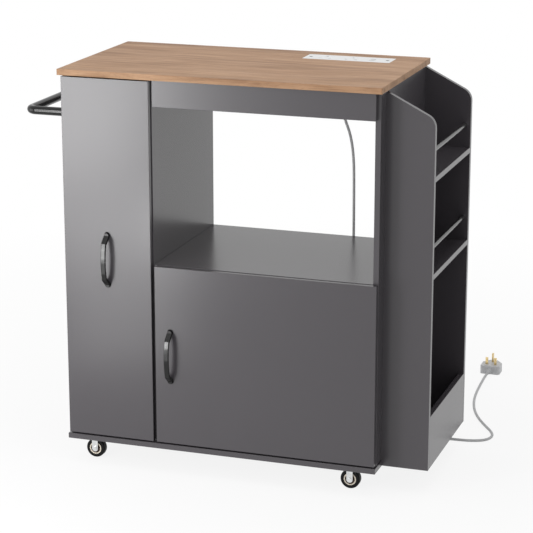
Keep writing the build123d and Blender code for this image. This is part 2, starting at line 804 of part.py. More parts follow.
with BuildPart() as power_strip_housing:
    block((housing_left, housing_right), (housing_front, housing_back), (housing_bottom, strip_plate_bottom))
    block(
        (housing_left + strip_housing_wall, housing_right - strip_housing_wall),
        (housing_front + strip_housing_wall, housing_back - strip_housing_wall),
        (housing_bottom + strip_housing_wall, strip_plate_bottom),
        mode=Mode.SUBTRACT,
    )
    for screw_x, inward in ((strip_screw_places[0][0], -1), (strip_screw_places[1][0], 1)):
        post_outer = screw_x + inward * (strip_screw_inset - strip_lip)
        post_x = sorted((post_outer, screw_x - inward * strip_screw_head))
        block(
            post_x,
            (strip_middle_y - strip_screw_head, strip_middle_y + strip_screw_head),
            (housing_bottom, strip_plate_bottom),
        )
    with Locations(*((x, y, strip_plate_bottom - strip_screw_length / 2) for x, y in strip_screw_places)):
        Cylinder(strip_screw_diameter / 2 + screw_hole_gap, strip_screw_length, mode=Mode.SUBTRACT)
save(power_strip_housing, "power_strip_housing")
with BuildPart() as socket_shutters:
    for socket_x in socket_xs:
        block(
            (socket_x - shutter_size / 2, socket_x + shutter_size / 2),
            (strip_middle_y - shutter_size / 2, strip_middle_y + shutter_size / 2),
            (strip_plate_bottom - shutter_thickness, strip_plate_bottom),
        )
save(socket_shutters, "socket_shutters")
with BuildPart() as usb_module:
    block(
        (usb_x - usb_block_length / 2, usb_x + usb_block_length / 2),
        (strip_middle_y - usb_block_width / 2, strip_middle_y + usb_block_width / 2),
        (strip_plate_bottom - usb_block_depth, strip_plate_bottom),
    )
save(usb_module, "usb_module")
with BuildPart() as power_strip_screws:
    with Locations(*((x, y, strip_plate_bottom - strip_screw_length / 2) for x, y in strip_screw_places)):
        Cylinder(strip_screw_diameter / 2, strip_screw_length)
    head_middle = strip_plate_bottom + strip_screw_head_height / 2
    with Locations(*((x, y, head_middle) for x, y in strip_screw_places)):
        Cylinder(strip_screw_head / 2, strip_screw_head_height)
save(power_strip_screws, "power_strip_screws")

# Mains cord: a strain relief under the strip, the cord itself, then a sleeve and plug lying on the floor
relief_x = strip_left + relief_from_strip_left
relief_y = strip_back - relief_from_strip_back
relief_end = housing_bottom - relief_length
with BuildPart() as cord_strain_relief:
    with BuildSketch(Plane.XY.offset(housing_bottom)):
        with Locations((relief_x, relief_y)):
            Circle(relief_top_diameter / 2)
    with BuildSketch(Plane.XY.offset(relief_end)):
        with Locations((relief_x, relief_y)):
            Circle(relief_end_diameter / 2)
    loft()
save(cord_strain_relief, "cord_strain_relief")

cord_hang = [
    (0, 0, 0),
    (0, 0, 27),
    (3.5, 26, 63.5),
    (7.5, 53, 99.5),
    (11.5, 65.5, 143.5),
    (14, 67.5, 203.5),
]
cord_lie = [
    (15, 15, 106),
    (21.5, 15.5, 60),
    (44.5, 17, 23),
    (84.5, 18.5, 4.2),
    (136.5, 20, 3.4),
    (188.5, 19.5, 3.4),
    (238.5, 18.5, 3.4),
    (274.5, 19, 3.4),
    (304.5, 22.5, 3.4),
    (334.5, 36.5, 3.4),
    (344.5, 66.5, 3.4),
    (333.5, 98.5, 3.4),
    (308.5, 136.5, 3.4),
    (283.5, 180.5, 3.4),
    (263.5, 228.5, 3.4),
    (249.5, 278.5, 3.4),
    (240.5, 330.5, 3.4),
    (235.5, 382.5, 3.4),
    (233.9, 426.5, 5.4),
    (234.5, 464.5, 11.2),
    (234.5, 497.5, 11.2),
]
cord_route = [(relief_x + out, relief_y + back, relief_end - drop) for out, back, drop in cord_hang]
cord_route += [(relief_x + out, carcass_back + back, z) for out, back, z in cord_lie]
cord_runs = [Vector(*end) - Vector(*start) for start, end in zip(cord_route, cord_route[1:])]
cord_radii = []
for before, after in zip(cord_runs, cord_runs[1:]):
    half_turn = radians(before.get_angle(after)) / 2
    cord_radii.append(cord_bend_share * min(before.length, after.length) / tan(half_turn))
with BuildPart() as mains_cord:
    with BuildLine() as cord_path:
        FilletPolyline(*cord_route, radius=cord_radii)
    with BuildSketch(Plane(cord_path.line @ 0, z_dir=cord_path.line % 0)):
        Circle(cord_diameter / 2)
    sweep()
save(mains_cord, "mains_cord")
cord_length = sum(edge.length for edge in cord_path.edges())
cord_section = Circle(cord_diameter / 2, mode=Mode.PRIVATE).area
cord_volume_share = mains_cord.part.volume / (cord_section * cord_length)
print("cord length", round(cord_length, 1), "volume over section times length", round(cord_volume_share, 5))
print("cord radii", [round(radius) for radius in cord_radii])
print("least radius wanted", cord_least_bends * cord_diameter)
print("cord runs", [round(run.length) for run in cord_runs])

plug_x, sleeve_start, plug_axis_z = cord_route[-1]
plug_start = sleeve_start + sleeve_length
plug_end = plug_start + plug_length
plug_bottom = plug_above_floor
plug_top = plug_bottom + plug_thickness
sleeve_step = sleeve_length / (2 * sleeve_groove_count + 1)
with BuildPart() as plug_sleeve:
    with BuildSketch(Plane((plug_x, sleeve_start, plug_axis_z), z_dir=(0, 1, 0))):
        Circle(sleeve_start_diameter / 2)
    with BuildSketch(Plane((plug_x, plug_start, plug_axis_z), z_dir=(0, 1, 0))):
        Circle(sleeve_end_diameter / 2)
    loft()
    for index in range(sleeve_groove_count):
        groove_start = sleeve_start + (2 * index + 1) * sleeve_step
        groove_share = (groove_start - sleeve_start) / sleeve_length
        groove_core = sleeve_start_diameter + groove_share * (sleeve_end_diameter - sleeve_start_diameter)
        with BuildSketch(Plane((plug_x, groove_start, plug_axis_z), z_dir=(0, 1, 0))):
            Circle(sleeve_end_diameter)
            Circle(groove_core / 2 - sleeve_groove / 2, mode=Mode.SUBTRACT)
        extrude(amount=sleeve_step, mode=Mode.SUBTRACT)
save(plug_sleeve, "plug_sleeve")

live_pin_y = plug_start + live_pin_from_heel
earth_pin_y = live_pin_y + socket_pin_spacing
with BuildPart() as plug_body:
    with BuildSketch(Plane.XY.offset(plug_bottom)):
        with BuildLine():
            Polyline(
                (plug_x - plug_width / 2 + plug_heel, plug_start),
                (plug_x + plug_width / 2 - plug_heel, plug_start),
                (plug_x + plug_width / 2, plug_start + plug_heel),
                (plug_x + plug_width / 2, plug_end - plug_shoulder),
                (plug_x + plug_nose_width / 2, plug_end),
                (plug_x - plug_nose_width / 2, plug_end),
                (plug_x - plug_width / 2, plug_end - plug_shoulder),
                (plug_x - plug_width / 2, plug_start + plug_heel),
                close=True,
            )
        make_face()
    extrude(amount=plug_thickness)
    fillet(plug_body.edges().filter_by(Axis.Z), plug_ease)
    fillet(plug_body.faces().sort_by(Axis.Z)[-1].edges(), plug_ease / 2)
save(plug_body, "plug_body")
with BuildPart() as plug_pins:
    with BuildSketch(Plane.XY.offset(plug_top)):
        with Locations(*((plug_x + side * socket_pin_spacing / 2, live_pin_y) for side in (-1, 1))):
            Rectangle(live_pin_width, live_pin_thickness)
    extrude(amount=pin_length)
    with BuildSketch(Plane.XY.offset(plug_top)):
        with Locations((plug_x, earth_pin_y)):
            Rectangle(earth_pin_width, earth_pin_thickness)
    extrude(amount=pin_length + earth_pin_extra)
save(plug_pins, "plug_pins")
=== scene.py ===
"""Kitchen trolley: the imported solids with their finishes, screws and mains cord, in a white studio."""
import json
import math

import bmesh
import bpy
from mathutils import Matrix, Vector


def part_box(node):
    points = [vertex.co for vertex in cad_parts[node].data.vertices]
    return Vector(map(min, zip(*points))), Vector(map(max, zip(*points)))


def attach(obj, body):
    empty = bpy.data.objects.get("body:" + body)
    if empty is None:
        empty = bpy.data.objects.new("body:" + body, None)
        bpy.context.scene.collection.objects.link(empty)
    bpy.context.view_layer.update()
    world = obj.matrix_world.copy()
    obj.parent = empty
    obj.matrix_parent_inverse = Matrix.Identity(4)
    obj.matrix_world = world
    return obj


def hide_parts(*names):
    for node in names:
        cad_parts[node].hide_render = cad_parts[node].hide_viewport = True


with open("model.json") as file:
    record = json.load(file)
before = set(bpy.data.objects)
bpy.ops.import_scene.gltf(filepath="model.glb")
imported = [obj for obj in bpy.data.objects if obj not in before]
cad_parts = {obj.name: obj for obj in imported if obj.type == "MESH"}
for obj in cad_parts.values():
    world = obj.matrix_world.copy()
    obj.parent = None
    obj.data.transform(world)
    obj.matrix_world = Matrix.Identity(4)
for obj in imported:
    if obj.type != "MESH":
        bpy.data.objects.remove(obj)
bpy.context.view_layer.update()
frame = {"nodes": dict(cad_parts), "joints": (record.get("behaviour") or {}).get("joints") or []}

# Base board: the particle board that carries the whole trolley.
# It is faced with a satin anthracite laminate and edged to match, and the castors are screwed under it.


def add_node(tree, kind, feeds=(), **settings):
    """Place a shader node; each feed is a value, or another node's output, for one of its sockets."""
    node = tree.nodes.new(kind)
    for name, value in settings.items():
        setattr(node, name, value)
    for socket, value in dict(feeds).items():
        if isinstance(value, bpy.types.NodeSocket):
            tree.links.new(value, node.inputs[socket])
        else:
            node.inputs[socket].default_value = value
    return node


def calculate(tree, operation, *values):
    """The result of a calculation on values or other nodes' outputs."""
    return add_node(tree, "ShaderNodeMath", enumerate(values), operation=operation).outputs[0]


def ranged(tree, value, low, high, lowest=0.0, highest=1.0):
    """A value from low to high, carried over to lie from lowest to highest."""
    feeds = {"Value": value, "From Min": low, "From Max": high, "To Min": lowest, "To Max": highest}
    return add_node(tree, "ShaderNodeMapRange", feeds).outputs[0]


def shader_group(name, inputs, outputs):
    """Start a shader node group, and give its tree, the sockets inside it and its output node."""
    group = bpy.data.node_groups.new(name, "ShaderNodeTree")
    for label, kind in inputs:
        group.interface.new_socket(label, in_out="INPUT", socket_type=kind)
    for label, kind in outputs:
        group.interface.new_socket(label, in_out="OUTPUT", socket_type=kind)
    return group, add_node(group, "NodeGroupInput").outputs, add_node(group, "NodeGroupOutput")


pressed_grain, given, result = shader_group(
    "pressed_grain",
    [("Position", "NodeSocketVector"), ("Grain Size", "NodeSocketFloat")],
    [("Height", "NodeSocketFloat"), ("Speckle", "NodeSocketFloat")],
)
pebble_scale = calculate(pressed_grain, "DIVIDE", 1.0, given["Grain Size"])
pebbles = add_node(
    pressed_grain,
    "ShaderNodeTexNoise",
    {"Vector": given["Position"], "Scale": pebble_scale, "Detail": 3.0, "Roughness": 0.6},
).outputs[0]
speckles = ranged(pressed_grain, pebbles, low=0.36, high=0.64)
pressed_grain.links.new(pebbles, result.inputs["Height"])
pressed_grain.links.new(speckles, result.inputs["Speckle"])

handling_marks, given, result = shader_group(
    "handling_marks",
    [("Position", "NodeSocketVector"), ("Patch Size", "NodeSocketFloat")],
    [("Mark", "NodeSocketFloat")],
)
patch_scale = calculate(handling_marks, "DIVIDE", 1.0, given["Patch Size"])
patches = add_node(
    handling_marks,
    "ShaderNodeTexNoise",
    {"Vector": given["Position"], "Scale": patch_scale, "Detail": 5.0, "Distortion": 0.6},
).outputs[0]
handling_marks.links.new(ranged(handling_marks, patches, low=0.3, high=0.7), result.inputs["Mark"])


def new_finish(name):
    """A new material with its tree, its shader and the place of each surface point on the object."""
    material = bpy.data.materials.new(name)
    material.use_nodes = True
    tree = material.node_tree
    place = add_node(tree, "ShaderNodeTexCoord").outputs["Object"]
    return material, tree, tree.nodes["Principled BSDF"], place


def grouped(tree, group, feeds):
    """Place a shader node group in a material, and give its outputs."""
    return add_node(tree, "ShaderNodeGroup", feeds, node_tree=group).outputs


def shade(colour, share):
    """A colour made lighter or darker by a share, as a shader socket takes it."""
    return (*(min(1.0, channel * share) for channel in colour), 1.0)


def mix_colours(tree, share, first, second):
    """A colour from the first to the second; each is a colour or another node's output."""
    first_socket, second_socket, mixed_socket = 6, 7, 2
    feeds = {"Factor": share, first_socket: first, second_socket: second}
    return add_node(tree, "ShaderNodeMix", feeds, data_type="RGBA").outputs[mixed_socket]


def relief(tree, height, depth):
    """The normals of a surface with a fine relief of that depth."""
    return add_node(tree, "ShaderNodeBump", {"Strength": 1.0, "Distance": depth, "Height": height}).outputs[0]


def feed_shader(tree, shader, colour, roughness, normal):
    """Lead a finish's colour, roughness and normals to its shader."""
    for socket, value in (("Base Color", colour), ("Roughness", roughness), ("Normal", normal)):
        tree.links.new(value, shader.inputs[socket])


def even_finish(name, colour, roughness, grain, grain_depth, patch, spread, tone=0.05, specular=0.5):
    """A finish with a pressed grain and faint patches from wiping, which shift its tone and its gloss."""
    material, tree, shader, place = new_finish(name)
    mark = grouped(tree, handling_marks, {"Position": place, "Patch Size": patch})["Mark"]
    pebble = grouped(tree, pressed_grain, {"Position": place, "Grain Size": grain})
    speckled_mark = calculate(tree, "MULTIPLY_ADD", mark, pebble["Speckle"], mark)
    shift = calculate(tree, "MULTIPLY", speckled_mark, 0.5)
    feed_shader(
        tree,
        shader,
        mix_colours(tree, shift, shade(colour, 1 - tone), shade(colour, 1 + tone)),
        ranged(tree, mark, 0.0, 1.0, roughness - spread, roughness + spread),
        relief(tree, pebble["Height"], grain_depth),
    )
    shader.inputs["Specular IOR Level"].default_value = specular
    return material


def dress(material, *names):
    """Give CAD nodes their finish."""
    for name in names:
        slots = frame["nodes"][name].data.materials
        slots.clear()
        slots.append(material)


anthracite = (0.0545, 0.0495, 0.0555)
board_finish = even_finish(
    "anthracite_laminate",
    anthracite,
    roughness=0.25,
    grain=0.0011,
    grain_depth=0.000005,
    patch=0.22,
    spread=0.006,
    tone=0.03,
    specular=0.62,
)
dress(board_finish, "base_board")

# Castor plates and their screws: pressed steel plates with a raceway, zinc plated.
# Each is held to the base board by four pan-head screws with a cross recess.
drawn_streaks, given, result = shader_group(
    "drawn_streaks",
    [("Position", "NodeSocketVector"), ("Stretch", "NodeSocketVector")],
    [("Streak", "NodeSocketFloat")],
)


def vector_math(tree, operation, *values):
    """The outputs of a calculation on vectors or other nodes' outputs."""
    return add_node(tree, "ShaderNodeVectorMath", enumerate(values), operation=operation).outputs


def stretched_noise(tree, place, stretch, detail):
    """Noise drawn out by a different share along each axis."""
    stretched = vector_math(tree, "MULTIPLY", place, stretch)["Vector"]
    feeds = {"Vector": stretched, "Scale": 1.0, "Detail": detail}
    return add_node(tree, "ShaderNodeTexNoise", feeds).outputs[0]


drawn = stretched_noise(drawn_streaks, given["Position"], given["Stretch"], detail=4.0)
drawn_streaks.links.new(ranged(drawn_streaks, drawn, low=0.32, high=0.68), result.inputs["Streak"])


def metal_finish(name, colour, roughness, spread, stretch, depth):
    """Bare or plated metal, with the fine streaks that rolling or drawing leaves along it."""
    patch, darkest, lightest = 0.012, 0.86, 1.08
    material, tree, shader, place = new_finish(name)
    streak = grouped(tree, drawn_streaks, {"Position": place, "Stretch": stretch})["Streak"]
    mark = grouped(tree, handling_marks, {"Position": place, "Patch Size": patch})["Mark"]
    feed_shader(
        tree,
        shader,
        mix_colours(tree, mark, shade(colour, darkest), shade(colour, lightest)),
        ranged(tree, streak, 0.0, 1.0, roughness - spread, roughness + spread),
        relief(tree, streak, depth),
    )
    shader.inputs["Metallic"].default_value = 1.0
    return material


zinc_finish = metal_finish(
    "zinc_plate",
    (0.68, 0.69, 0.7),
    roughness=0.3,
    spread=0.08,
    stretch=(900.0, 900.0, 120.0),
    depth=0.00001,
)
dress(zinc_finish, "castor_plates")


def cross_head(head, height, shank, length):
    """A pan-head screw with a cross recess, standing head up with the underside of its head at the origin."""
    segments = 24
    tip_share = 0.45
    rim_share = 0.35
    shoulder_width_share, shoulder_height_share = 0.93, 0.72
    crown_share = 0.74
    arm_length_share, arm_width_share, arm_depth_share = 0.6, 0.13, 1.3
    arm_difference = 0.02
    profile = [
        (0.0, -length),
        (shank / 2 * tip_share, -length),
        (shank / 2, -length + shank),
        (shank / 2, 0.0),
        (head / 2, 0.0),
        (head / 2, height * rim_share),
        (head / 2 * shoulder_width_share, height * shoulder_height_share),
        (head / 2 * crown_share, height),
        (0.0, height),
    ]
    turned = bmesh.new()
    line = [turned.verts.new((radius, 0.0, z)) for radius, z in profile]
    edges = [turned.edges.new(pair) for pair in zip(line, line[1:])]
    bmesh.ops.spin(
        turned,
        geom=line + edges,
        axis=(0, 0, 1),
        cent=(0, 0, 0),
        angle=math.tau,
        steps=segments,
        use_duplicate=False,
    )
    bmesh.ops.remove_doubles(turned, verts=turned.verts[:], dist=1e-6)
    bmesh.ops.recalc_face_normals(turned, faces=turned.faces[:])
    recess = bmesh.new()
    long, narrow, deep = head * arm_length_share, head * arm_width_share, height * arm_depth_share
    less, more = 1 - arm_difference, 1 + arm_difference
    for size in ((long, narrow, deep), (narrow * less, long * less, deep * more)):
        arm = Matrix.Translation((0, 0, height)) @ Matrix.Diagonal((*size, 1))
        bmesh.ops.create_cube(recess, size=1.0, matrix=arm)
    items = []
    for name, mesh in (("screw_blank", turned), ("screw_recess", recess)):
        data = bpy.data.meshes.new(name)
        mesh.to_mesh(data)
        mesh.free()
        items.append(bpy.data.objects.new(name, data))
        bpy.context.scene.collection.objects.link(items[-1])
    blank, cutter = items
    cut = blank.modifiers.new("recess", "BOOLEAN")
    cut.operation = "DIFFERENCE"
    cut.solver = "EXACT"
    cut.use_self = True
    cut.object = cutter
    bpy.context.view_layer.update()
    made = bpy.data.meshes.new_from_object(blank.evaluated_get(bpy.context.evaluated_depsgraph_get()))
    for item in items:
        bpy.data.objects.remove(item)
    return made


def screw_set(name, node, body, screw, places, facing, finish):
    """Copies of one screw at their places, with their heads facing one way, standing for a CAD node."""
    first_twist, twist_step = 0.7, 1.3
    crease = math.radians(35)
    turn = Vector((0, 0, 1)).rotation_difference(Vector(facing)).to_matrix().to_4x4()
    joined = bmesh.new()
    for index, place in enumerate(places):
        copy = bmesh.new()
        copy.from_mesh(screw)
        twist = Matrix.Rotation(first_twist + twist_step * index, 4, "Z")
        copy.transform(Matrix.Translation(place) @ turn @ twist)
        part = bpy.data.meshes.new("screw_part")
        copy.to_mesh(part)
        copy.free()
        joined.from_mesh(part)
        bpy.data.meshes.remove(part)
    data = bpy.data.meshes.new(name)
    joined.to_mesh(data)
    joined.free()
    data.materials.append(finish)
    data.shade_smooth()
    data.set_sharp_from_angle(angle=crease)
    piece = bpy.data.objects.new(name, data)
    bpy.context.scene.collection.objects.link(piece)
    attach(piece, body)
    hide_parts(node)


corners = ("front_left", "front_right", "rear_left", "rear_right")
joint_places = {joint["name"]: joint["pos_m"] for joint in frame["joints"] if "pos_m" in joint}
castor_screw_crown = 0.002
castor_screw_reach = 0.0135
castor_screw_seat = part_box("castor_screws")[0].z + castor_screw_crown
castor_screw_places = []
for corner in corners:
    axis_x, axis_y, _ = joint_places[f"castor_swivel_{corner}"]
    castor_screw_places += [
        (axis_x + side_x * castor_screw_reach, axis_y + side_y * castor_screw_reach, castor_screw_seat)
        for side_x in (-1, 1)
        for side_y in (-1, 1)
    ]
screw_set(
    "castor_screw_set",
    "castor_screws",
    "cabinet",
    cross_head(head=0.007, height=castor_screw_crown, shank=0.004, length=0.009),
    castor_screw_places,
    (0, 0, -1),
    zinc_finish,
)

# Castors: a bright pressed fork with its axle rivet, a moulded wheel centre and a black tyre.
# The wheel centre is cream at its rim and dark brown in the middle, where it is dished.
bright_finish = metal_finish(
    "bright_fork",
    (0.72, 0.73, 0.73),
    roughness=0.2,
    spread=0.06,
    stretch=(700.0, 700.0, 90.0),
    depth=0.000006,
)
tyre_finish = even_finish(
    "tyre_rubber",
    (0.006, 0.006, 0.0063),
    roughness=0.5,
    grain=0.0008,
    grain_depth=0.00004,
    patch=0.01,
    spread=0.08,
    tone=0.2,
    specular=0.12,
)
rim_cream = (0.66, 0.6, 0.5)
middle_brown = (0.05, 0.022, 0.012)
brown_radius, cream_radius = 0.0111, 0.0114


def wheel_centre_finish(name, axle):
    """Moulded plastic, dark brown around the axle and cream from there to the rim."""
    material, tree, shader, place = new_finish(name)
    from_axle = vector_math(tree, "SUBTRACT", place, axle)["Vector"]
    across_axle = vector_math(tree, "MULTIPLY", from_axle, (1.0, 0.0, 1.0))["Vector"]
    radius = vector_math(tree, "LENGTH", across_axle)["Value"]
    mark = grouped(tree, handling_marks, {"Position": place, "Patch Size": 0.006})["Mark"]
    pebble = grouped(tree, pressed_grain, {"Position": place, "Grain Size": 0.0005})
    browns = mix_colours(tree, mark, shade(middle_brown, 0.8), shade(middle_brown, 1.25))
    creams = mix_colours(tree, mark, shade(rim_cream, 0.92), shade(rim_cream, 1.05))
    feed_shader(
        tree,
        shader,
        mix_colours(tree, ranged(tree, radius, brown_radius, cream_radius), browns, creams),
        ranged(tree, mark, 0.0, 1.0, lowest=0.36, highest=0.5),
        relief(tree, pebble["Height"], depth=0.00002),
    )
    return material


for corner in corners:
    dress(bright_finish, f"castor_fork_{corner}")
    dress(tyre_finish, f"castor_tyre_{corner}")
    axle = joint_places[f"wheel_spin_{corner}"]
    dress(wheel_centre_finish(f"wheel_centre_{corner}", axle), f"castor_hub_{corner}")

# Carcass: the uprights, the microwave shelf and the rails between them.
# They are the same laminated board as the base, joined with dowels and hidden cam fittings.
dress(
    board_finish,
    "left_side_panel",
    "divider_panel",
    "right_side_panel",
    "microwave_shelf",
    "rear_rail",
    "front_apron",
)

# Back panels: thin hardboard, painted dark on the face, pinned to the back of the carcass.
# The fibres of the pressed board show through the paint.
hardboard_finish = even_finish(
    "painted_hardboard",
    (0.063, 0.059, 0.064),
    roughness=0.62,
    grain=0.0022,
    grain_depth=0.00012,
    patch=0.08,
    spread=0.06,
    tone=0.14,
)
dress(hardboard_finish, "tall_back_panel", "lower_back_panel")

# Fixing angles: pressed zinc-plated corners that hold the worktop down on the uprights and the apron.
# They are hidden under the worktop.
dress(zinc_finish, "fixing_angles")

# Worktop: a board faced with a wood-grain laminate, edged with a matching strip all round.
# The grain runs along its length, in soft bands with finer darker fibres and short pores.
wood_light = (0.455, 0.271, 0.154)
wood_middle = (0.352, 0.2, 0.108)
wood_dark = (0.235, 0.125, 0.064)
wander_reach = 0.03
band_share, streak_share, fibre_share = 0.28, 0.46, 0.26
wood_finish, wood, wood_shader, board_place = new_finish("wood_grain_laminate")
wander = add_node(wood, "ShaderNodeTexNoise", {"Vector": board_place, "Scale": 3.2, "Detail": 2.0}).outputs[0]
wander_shift = ranged(wood, wander, 0.0, 1.0, -wander_reach, wander_reach)
wander_across = add_node(wood, "ShaderNodeCombineXYZ", {"Y": wander_shift}).outputs[0]
grain_place = vector_math(wood, "ADD", board_place, wander_across)["Vector"]
bands = stretched_noise(wood, grain_place, (1.6, 17.0, 17.0), detail=2.0)
streaks = stretched_noise(wood, grain_place, (7.0, 85.0, 85.0), detail=5.0)
fibres = stretched_noise(wood, grain_place, (16.0, 480.0, 480.0), detail=3.0)
pores = stretched_noise(wood, grain_place, (55.0, 1300.0, 1300.0), detail=1.0)
banded = calculate(wood, "MULTIPLY", bands, band_share)
streaked = calculate(wood, "MULTIPLY_ADD", streaks, streak_share, banded)
figure = calculate(wood, "MULTIPLY_ADD", fibres, fibre_share, streaked)
tones = add_node(wood, "ShaderNodeValToRGB", {"Fac": figure})
dark_end, light_end = tones.color_ramp.elements
dark_end.position = 0.38
dark_end.color = (*wood_dark, 1.0)
light_end.position = 0.62
light_end.color = (*wood_light, 1.0)
tones.color_ramp.elements.new(0.49).color = (*wood_middle, 1.0)
pore_mask = ranged(wood, pores, low=0.6, high=0.72, highest=0.55)
feed_shader(
    wood,
    wood_shader,
    mix_colours(wood, pore_mask, tones.outputs["Color"], shade(wood_dark, 0.8)),
    ranged(wood, streaks, low=0.3, high=0.7, lowest=0.58, highest=0.5),
    relief(wood, calculate(wood, "MULTIPLY_ADD", pore_mask, -1.0, fibres), depth=0.00006),
)
wood_shader.inputs["Specular IOR Level"].default_value = 0.3
dress(wood_finish, "worktop")

# Power strip: a white moulded face plate over a closed housing, let into the worktop.
# Grey shutters close the sockets, and two small black-coated screws hold the plate.
white_plastic = even_finish(
    "white_moulding",
    (0.73, 0.735, 0.735),
    roughness=0.32,
    grain=0.0007,
    grain_depth=0.00001,
    patch=0.03,
    spread=0.04,
    tone=0.02,
)
shutter_plastic = even_finish(
    "shutter_moulding",
    (0.5, 0.5, 0.51),
    roughness=0.5,
    grain=0.0006,
    grain_depth=0.00002,
    patch=0.01,
    spread=0.05,
)
black_plastic = even_finish(
    "black_moulding",
    (0.03, 0.03, 0.031),
    roughness=0.45,
    grain=0.0007,
    grain_depth=0.00002,
    patch=0.02,
    spread=0.06,
    tone=0.12,
)
black_gloss = even_finish(
    "black_coat",
    (0.002, 0.002, 0.0021),
    roughness=0.12,
    grain=0.0016,
    grain_depth=0.000008,
    patch=0.02,
    spread=0.03,
    tone=0.1,
    specular=0.4,
)
dress(white_plastic, "power_strip_faceplate", "power_strip_housing")
dress(shutter_plastic, "socket_shutters")
dress(black_plastic, "usb_module")
strip_screw_head = 0.009
strip_screw_crown = 0.0022
strip_screw_low, strip_screw_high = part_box("power_strip_screws")
strip_screw_y = (strip_screw_low.y + strip_screw_high.y) / 2
strip_screw_seat = strip_screw_high.z - strip_screw_crown
screw_set(
    "power_strip_screw_set",
    "power_strip_screws",
    "cabinet",
    cross_head(head=strip_screw_head, height=strip_screw_crown, shank=0.003, length=0.011),
    [
        (strip_screw_low.x + strip_screw_head / 2, strip_screw_y, strip_screw_seat),
        (strip_screw_high.x - strip_screw_head / 2, strip_screw_y, strip_screw_seat),
    ],
    (0, 0, 1),
    black_gloss,
)

# Larder runners: rolled steel channels, zinc plated, one on the carcass and one on the larder at each place.
# The streaks of the rolling run along them.
runner_finish = metal_finish(
    "runner_zinc",
    (0.66, 0.67, 0.68),
    roughness=0.32,
    spread=0.08,
    stretch=(500.0, 12.0, 500.0),
    depth=0.00001,
)
dress(runner_finish, "runner_outer_channels", "runner_inner_channels")

# Larder: a tall front, a back board and four shelves with low sides, all of laminated board.
# It slides out as one piece on the runners.
dress(
    board_finish,
    "pullout_front",
    "pullout_back_board",
    "pullout_bottom_shelf",
    "pullout_lower_shelf",
    "pullout_middle_shelf",
    "pullout_upper_shelf",
    "pullout_sides",
)

# Bow handles: cast metal under a gloss black coat, with a screw into each foot from behind the front.
# The screws have pan heads with a cross recess.
dress(black_gloss, "pullout_handle", "lower_door_handle")
handle_screw_reach = 0.056
handle_screw = cross_head(head=0.007, height=0.002, shank=0.004, length=0.016)
for handle, front, body in (
    ("pullout_handle", "pullout_front", "pullout"),
    ("lower_door_handle", "lower_door", "lower_door"),
):
    handle_low, handle_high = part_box(handle)
    handle_centre = (handle_low + handle_high) / 2
    front_back_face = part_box(front)[1].y
    screw_set(
        f"{handle}_screw_set",
        f"{handle}_screws",
        body,
        handle_screw,
        [(handle_centre.x, front_back_face, handle_centre.z + side * handle_screw_reach) for side in (-1, 1)],
        (0, 1, 0),
        zinc_finish,
    )

# Lower door: a laminated board hung on two concealed hinges.
# The cups are pressed into its back, and the arms reach them from plates on the right side panel.
nickel_finish = metal_finish(
    "hinge_nickel",
    (0.72, 0.71, 0.69),
    roughness=0.26,
    spread=0.07,
    stretch=(600.0, 60.0, 600.0),
    depth=0.000008,
)
dress(board_finish, "lower_door")
dress(nickel_finish, "hinge_cups", "hinge_plates_and_arms")

# Side rack: two shaped end panels, three shelves and a fascia of laminated board.
# Its round guard rails are painted steel bars, let into the end panels.
rail_paint = even_finish(
    "rail_paint",
    (0.018, 0.018, 0.0185),
    roughness=0.18,
    grain=0.0014,
    grain_depth=0.000006,
    patch=0.03,
    spread=0.03,
    tone=0.08,
    specular=0.6,
)
dress(
    board_finish,
    "rack_front_panel",
    "rack_back_panel",
    "rack_upper_shelf",
    "rack_lower_shelf",
    "rack_bottom_shelf",
    "rack_fascia",
)
dress(rail_paint, "rack_guard_rails")

# Towel rail: one bent steel bar with a turned flange at each end, coated gloss black.
# The flanges stand on the left side panel, under the worktop.
dress(black_gloss, "towel_rail", "towel_rail_flanges")

# Mains cord: a round flexible lead with a pale grey sheath.
# It leaves a strain relief under the power strip, hangs down behind the trolley and lies on the floor.
cord_diameter = 0.0064
cord_route = [
    (0.1705, 0.156, 0.8155),
    (0.1705, 0.156, 0.7885),
    (0.174, 0.182, 0.752),
    (0.178, 0.209, 0.716),
    (0.182, 0.2215, 0.672),
    (0.1845, 0.2235, 0.612),
    (0.1855, 0.2225, 0.106),
    (0.192, 0.223, 0.06),
    (0.215, 0.2245, 0.023),
    (0.255, 0.226, 0.0042),
    (0.307, 0.2275, 0.0034),
    (0.359, 0.227, 0.0034),
    (0.409, 0.226, 0.0034),
    (0.445, 0.2265, 0.0034),
    (0.475, 0.23, 0.0034),
    (0.505, 0.244, 0.0034),
    (0.515, 0.274, 0.0034),
    (0.504, 0.306, 0.0034),
    (0.479, 0.344, 0.0034),
    (0.454, 0.388, 0.0034),
    (0.434, 0.436, 0.0034),
    (0.42, 0.486, 0.0034),
    (0.411, 0.538, 0.0034),
    (0.406, 0.59, 0.0034),
    (0.4044, 0.634, 0.0054),
    (0.405, 0.672, 0.0112),
    (0.405, 0.705, 0.0112),
]
sheath_finish = even_finish(
    "cord_sheath",
    (0.5, 0.505, 0.51),
    roughness=0.46,
    grain=0.0012,
    grain_depth=0.00003,
    patch=0.04,
    spread=0.06,
)
cord_curve = bpy.data.curves.new("mains_lead", "CURVE")
cord_curve.dimensions = "3D"
cord_curve.bevel_depth = cord_diameter / 2
cord_curve.bevel_resolution = 4
cord_curve.use_fill_caps = True
cord_line = cord_curve.splines.new("NURBS")
cord_line.points.add(len(cord_route) - 1)
for point, stop in zip(cord_line.points, cord_route):
    point.co = (*stop, 1.0)
cord_line.order_u = 3
cord_line.use_endpoint_u = True
cord_line.resolution_u = 10
cord_curve.materials.append(sheath_finish)
mains_lead = bpy.data.objects.new("mains_lead", cord_curve)
bpy.context.scene.collection.objects.link(mains_lead)
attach(mains_lead, "cabinet")
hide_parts("mains_cord")

